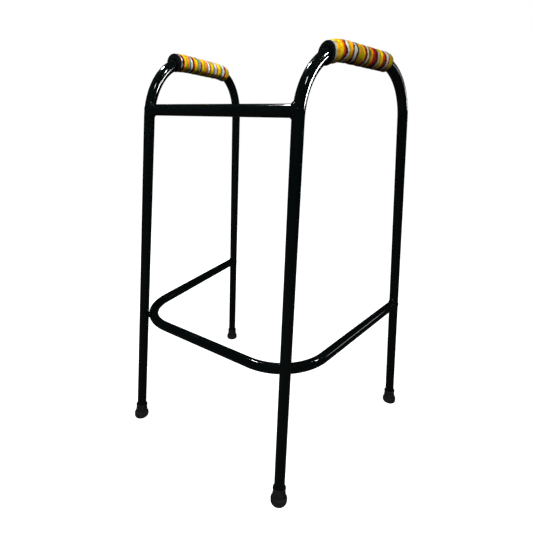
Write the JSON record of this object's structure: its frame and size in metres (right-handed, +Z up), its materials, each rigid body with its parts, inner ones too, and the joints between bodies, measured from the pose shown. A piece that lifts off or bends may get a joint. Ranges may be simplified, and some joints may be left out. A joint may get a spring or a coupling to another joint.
{
  "type": "walking frame",
  "caption": "Rigid walking frame of bent round tube with a cross bar, a U-shaped lower brace, rimmed rubber feet and foam grips in striped cloth.",
  "frame": {"origin": "on the floor, at the middle of the frame's width and depth", "axes": "+Z up; -Y is forward, the way the user faces and the side with the cross bar; +X is the user's left; the frame is symmetric about X = 0"},
  "size_m": [0.6218, 0.4989, 0.8827],
  "materials": {
    "black_paint": "gloss black powder coat",
    "painted_weld": "gloss black paint over a rippled weld bead",
    "black_rubber": "matt moulded rubber",
    "washer_steel": "plain zinc-plated steel",
    "black_foam": "matt foam rubber with a fine skin",
    "striped_cloth": "printed cotton with narrow yellow, orange, olive, maroon, teal and white stripes"
  },
  "bodies": {
    "root": {"left_side_tube": "black_paint", "right_side_tube": "black_paint", "upper_cross_bar": "black_paint", "lower_brace": "black_paint", "upper_left_weld": "painted_weld", "lower_front_left_weld": "painted_weld", "lower_rear_left_weld": "painted_weld", "upper_right_weld": "painted_weld", "lower_front_right_weld": "painted_weld", "lower_rear_right_weld": "painted_weld", "front_left_foot": "black_rubber", "rear_left_foot": "black_rubber", "front_left_washer": "washer_steel", "rear_left_washer": "washer_steel", "front_right_foot": "black_rubber", "rear_right_foot": "black_rubber", "front_right_washer": "washer_steel", "rear_right_washer": "washer_steel", "left_foam_grip": "black_foam", "left_grip_cover": "striped_cloth", "right_foam_grip": "black_foam", "right_grip_cover": "striped_cloth"}
  },
  "joints": []
}
